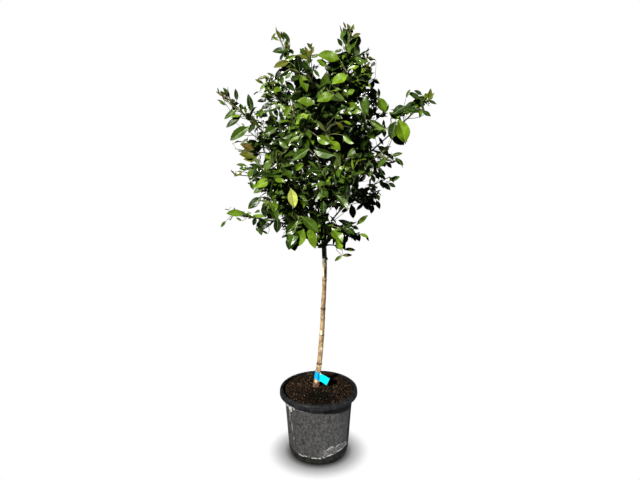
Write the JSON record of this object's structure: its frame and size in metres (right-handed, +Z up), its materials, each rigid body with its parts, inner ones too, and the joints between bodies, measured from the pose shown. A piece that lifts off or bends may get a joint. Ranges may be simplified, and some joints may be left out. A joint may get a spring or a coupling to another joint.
{
  "type": "potted lemon tree",
  "caption": "Young lemon tree grown as a standard: a slim bare stem, a fork, and an open leafy crown, in a round tapered nursery pot filled with compost.",
  "frame": {"origin": "centre of the pot's flat underside, at the level of the floor", "axes": "+Z up along the pot's axis, -Y towards the viewer of the picture, +X to the viewer's right"},
  "size_m": [0.8815, 0.6899, 1.792],
  "materials": {
    "bark": "matt straw bark",
    "green_bark": "dull green-brown bark",
    "leaf": "glossy leaf",
    "pot_plastic": "black plastic, dusty",
    "label_plastic": "bright blue plastic strip",
    "earth": "moist dark crumbs"
  },
  "bodies": {
    "root": {"bough_left_shoot": "green_bark", "bough_left_shoulder": "green_bark", "bough_low_back_left": "green_bark", "bough_low_back_right": "green_bark", "bough_low_front": "green_bark", "bough_low_left": "green_bark", "bough_low_right": "green_bark", "bough_low_tuft": "green_bark", "bough_mid_back_left": "green_bark", "bough_mid_back_right": "green_bark", "bough_mid_front_left": "green_bark", "bough_mid_front_right": "green_bark", "bough_mid_left": "green_bark", "bough_mid_right": "green_bark", "bough_right_shoot": "green_bark", "bough_right_shoulder": "green_bark", "bough_right_spray": "green_bark", "bough_top_back": "green_bark", "bough_top_front": "green_bark", "bough_top_left": "green_bark", "bough_upper_back": "green_bark", "bough_upper_front": "green_bark", "bough_upper_left": "green_bark", "bough_upper_right": "green_bark", "compost": "earth", "foliage_left_shoot": "leaf", "foliage_left_shoulder": "leaf", "foliage_low_back_left": "leaf", "foliage_low_back_right": "leaf", "foliage_low_front": "leaf", "foliage_low_left": "leaf", "foliage_low_right": "leaf", "foliage_low_tuft": "leaf", "foliage_mid_back_left": "leaf", "foliage_mid_back_right": "leaf", "foliage_mid_front_left": "leaf", "foliage_mid_front_right": "leaf", "foliage_mid_left": "leaf", "foliage_mid_right": "leaf", "foliage_right_shoot": "leaf", "foliage_right_shoulder": "leaf", "foliage_right_spray": "leaf", "foliage_top_back": "leaf", "foliage_top_front": "leaf", "foliage_top_left": "leaf", "foliage_top_right": "leaf", "foliage_upper_back": "leaf", "foliage_upper_front": "leaf", "foliage_upper_left": "leaf", "foliage_upper_right": "leaf", "label": "label_plastic", "leader": "green_bark", "pot": "pot_plastic", "stem": "bark"}
  },
  "joints": []
}
